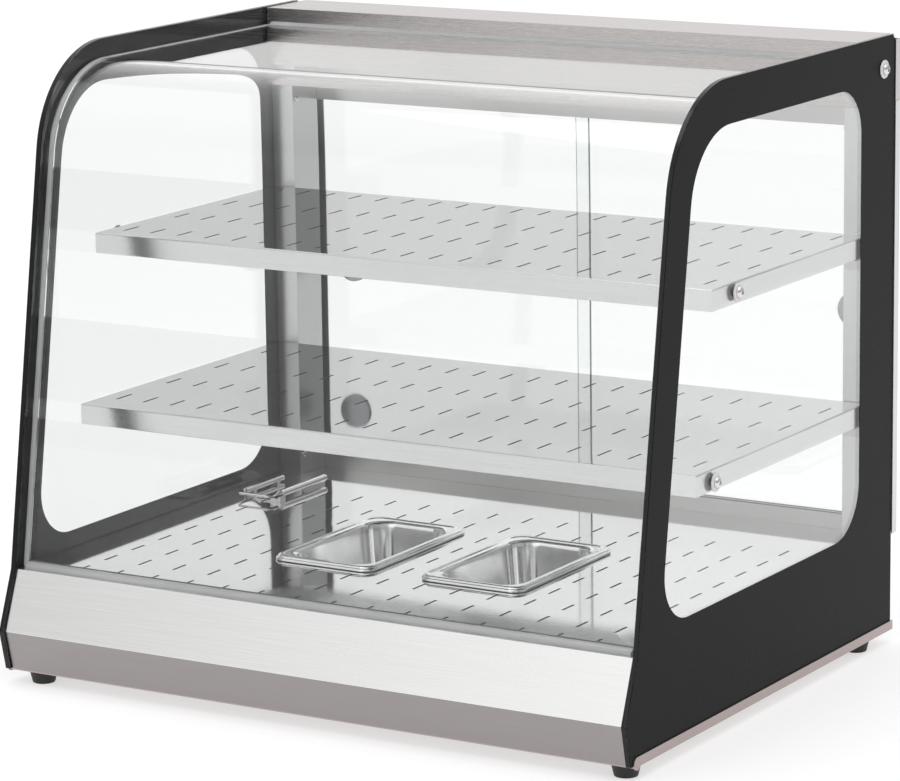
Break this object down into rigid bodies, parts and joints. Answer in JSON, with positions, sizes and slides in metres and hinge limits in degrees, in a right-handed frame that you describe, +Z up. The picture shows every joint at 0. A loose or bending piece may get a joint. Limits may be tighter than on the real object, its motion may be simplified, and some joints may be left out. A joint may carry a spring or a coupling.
{
  "type": "hot food display case",
  "caption": "Countertop hot food display case with bent front glass, black bordered side glass, slotted shelves, water pans and rear sliding doors.",
  "frame": {"origin": "centre of the footprint, on the plane the feet stand on", "axes": "+X to the customer's right seen from the front, +Y towards the service side with the doors and controls, +Z up; the customer looks along +Y"},
  "size_m": [0.6912, 0.5582, 0.6],
  "materials": {
    "stainless": "fine horizontal brushing",
    "bright_steel": "bright, near mirror sheet",
    "pan_steel": "satin pressed steel",
    "screw_steel": "bright plated",
    "clear_glass": "clear polished",
    "door_glass": "clear polished with green edges",
    "black_print": "smooth black printed band",
    "silicone": "translucent grey silicone",
    "lamp_white": "white tube",
    "white_nylon": "satin nylon",
    "pull_metal": "satin cup",
    "element_sheath": "heat darkened sheath",
    "mineral_wool": "matted fibre",
    "tube_steel": "bare drawn tube",
    "thermostat_case": "zinc plated case",
    "black_plastic": "moulded black",
    "red_plastic": "moulded red",
    "amber_lens": "amber lens",
    "wire_cover": "sleeved wire",
    "black_rubber": "moulded rubber"
  },
  "bodies": {
    "case": {"base_tray": "stainless", "kick_panel": "stainless", "rear_panel": "stainless", "side_glass_left": "clear_glass", "side_glass_right": "clear_glass", "side_border_left": "black_print", "side_border_right": "black_print", "front_glass": "clear_glass", "front_seal_left": "silicone", "front_seal_right": "silicone", "front_seal_bottom": "silicone", "front_seal_top": "silicone", "header_shell": "stainless", "header_cover": "stainless", "lamp_lens": "clear_glass", "lamp_reflector": "bright_steel", "lamp_tube": "lamp_white", "lamp_holders": "white_nylon", "rear_post_left": "stainless", "rear_post_right": "stainless", "door_track_top": "stainless", "door_track_bottom": "stainless", "shelf_upper": "bright_steel", "shelf_middle": "bright_steel", "shelf_cleats": "stainless", "button_screws": "screw_steel", "nylon_washers": "white_nylon", "deck_plate": "bright_steel", "heating_element_front": "element_sheath", "heating_element_rear": "element_sheath", "element_clips": "stainless", "heat_shield": "stainless", "insulation_pad": "mineral_wool", "sensor_bulb": "screw_steel", "sensor_guard": "bright_steel", "sensor_clip": "bright_steel", "capillary": "tube_steel", "thermostat": "thermostat_case", "power_switch_body": "black_plastic", "light_switch_body": "black_plastic", "pilot_lamp": "amber_lens", "cable_gland": "black_plastic", "terminal_block": "white_nylon", "wiring": "wire_cover", "foot_front_left": "black_rubber", "foot_front_right": "black_rubber", "foot_rear_left": "black_rubber", "foot_rear_right": "black_rubber", "foot_screws": "screw_steel", "small_screws": "screw_steel"},
    "door_left": {"door_left": "door_glass", "door_pull_left": "pull_metal"},
    "door_right": {"door_right": "door_glass", "door_pull_right": "pull_metal"},
    "pan_left": {"water_pan_left": "pan_steel"},
    "pan_right": {"water_pan_right": "pan_steel"},
    "knob": {"thermostat_knob": "black_plastic"},
    "power_rocker": {"power_rocker": "red_plastic"},
    "light_rocker": {"light_rocker": "black_plastic"}
  },
  "joints": [
    {"name": "left_door_slide", "type": "slide", "parent": "case", "child": "door_left", "axis": [1, 0, 0], "range_m": [0, 0.3]},
    {"name": "right_door_slide", "type": "slide", "parent": "case", "child": "door_right", "axis": [1, 0, 0], "range_m": [-0.3, 0]},
    {"name": "left_pan_lift", "type": "slide", "parent": "case", "child": "pan_left", "axis": [0, 0, 1], "range_m": [0, 0.09]},
    {"name": "right_pan_lift", "type": "slide", "parent": "case", "child": "pan_right", "axis": [0, 0, 1], "range_m": [0, 0.09]},
    {"name": "thermostat_turn", "type": "hinge", "parent": "case", "child": "knob", "pos_m": [0.205, 0.2695, 0.065], "axis": [0, 1, 0], "range_deg": [0, 270]},
    {"name": "power_rock", "type": "hinge", "parent": "case", "child": "power_rocker", "pos_m": [0.13, 0.2584, 0.065], "axis": [1, 0, 0], "range_deg": [-14, 0]},
    {"name": "light_rock", "type": "hinge", "parent": "case", "child": "light_rocker", "pos_m": [0.08, 0.2584, 0.065], "axis": [1, 0, 0], "range_deg": [-14, 0]}
  ]
}
